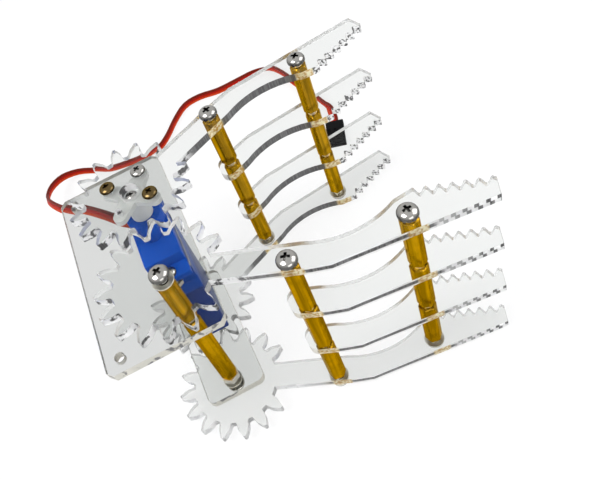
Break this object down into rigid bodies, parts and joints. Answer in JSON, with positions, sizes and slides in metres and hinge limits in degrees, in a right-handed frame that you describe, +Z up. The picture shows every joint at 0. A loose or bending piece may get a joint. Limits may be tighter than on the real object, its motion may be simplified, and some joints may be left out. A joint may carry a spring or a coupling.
{
  "type": "two finger servo gripper",
  "caption": "Clear laser-cut gripper: two serrated fingers on meshing gears, stacked on hex standoffs and driven by a small servo under a base plate.",
  "frame": {"origin": "midway between the two mounting holes, on the top face of the base plate", "axes": "+X from the mounting holes towards the finger tips; +Y across the fingers, from the idler towards the driven finger; +Z up, away from the surface that the gripper stands on"},
  "size_m": [0.1344, 0.1677, 0.0775],
  "materials": {
    "clear_acrylic": "clear, polished faces and laser-cut edges",
    "brass": "bright turned brass",
    "steel": "bright zinc-plated steel",
    "servo_blue": "translucent blue, smooth",
    "pedestal_blue": "dark blue, smooth",
    "horn_white": "moulded white nylon",
    "cable_rubber": "three joined insulated wires: brown, red and orange",
    "connector_black": "moulded black housing"
  },
  "bodies": {
    "base": {"base_plate": "clear_acrylic", "lower_bar": "clear_acrylic", "servo_pedestal": "pedestal_blue", "servo_case_bottom": "servo_blue", "servo_case_middle": "servo_blue", "servo_case_top": "servo_blue", "servo_case_screws": "steel", "servo_mount_screws": "steel", "servo_mount_nuts": "steel", "cable_boot": "connector_black", "servo_cable": "cable_rubber", "cable_connector": "connector_black", "connector_contacts": "brass", "upper_pivot_standoff": "brass", "lower_pivot_standoff": "brass", "upper_pivot_screw": "steel", "lower_pivot_screw": "steel", "lower_pivot_nut": "steel", "pivot_washers": "steel", "driven_pivot_screw": "steel"},
    "driven_finger": {"servo_output_shaft": "horn_white", "servo_horn": "horn_white", "horn_brass_screws": "brass", "horn_steel_screw": "steel", "horn_centre_screw": "steel", "driven_top_gear_plate": "clear_acrylic", "driven_upper_arm_plate": "clear_acrylic", "driven_lower_arm_plate": "clear_acrylic", "driven_bottom_gear_plate": "clear_acrylic", "driven_inner_standoffs": "brass", "driven_tip_standoffs": "brass", "driven_top_screws": "steel", "driven_bottom_screws": "steel", "driven_washers": "steel"},
    "idler_finger": {"idler_top_gear_plate": "clear_acrylic", "idler_upper_arm_plate": "clear_acrylic", "idler_lower_arm_plate": "clear_acrylic", "idler_bottom_gear_plate": "clear_acrylic", "idler_inner_standoffs": "brass", "idler_tip_standoffs": "brass", "idler_top_screws": "steel", "idler_bottom_screws": "steel", "idler_washers": "steel"}
  },
  "joints": [
    {"name": "driven_pivot", "type": "hinge", "parent": "base", "child": "driven_finger", "pos_m": [0.023, 0.0035, 0], "axis": [0, 0, 1], "range_deg": [-23, 30]},
    {"name": "idler_pivot", "type": "hinge", "parent": "base", "child": "idler_finger", "pos_m": [0.023, -0.0305, 0], "axis": [0, 0, 1], "range_deg": [-30, 23]}
  ],
  "couplings": [
    {"joint": "idler_pivot", "follows": "driven_pivot", "ratio": -1}
  ]
}
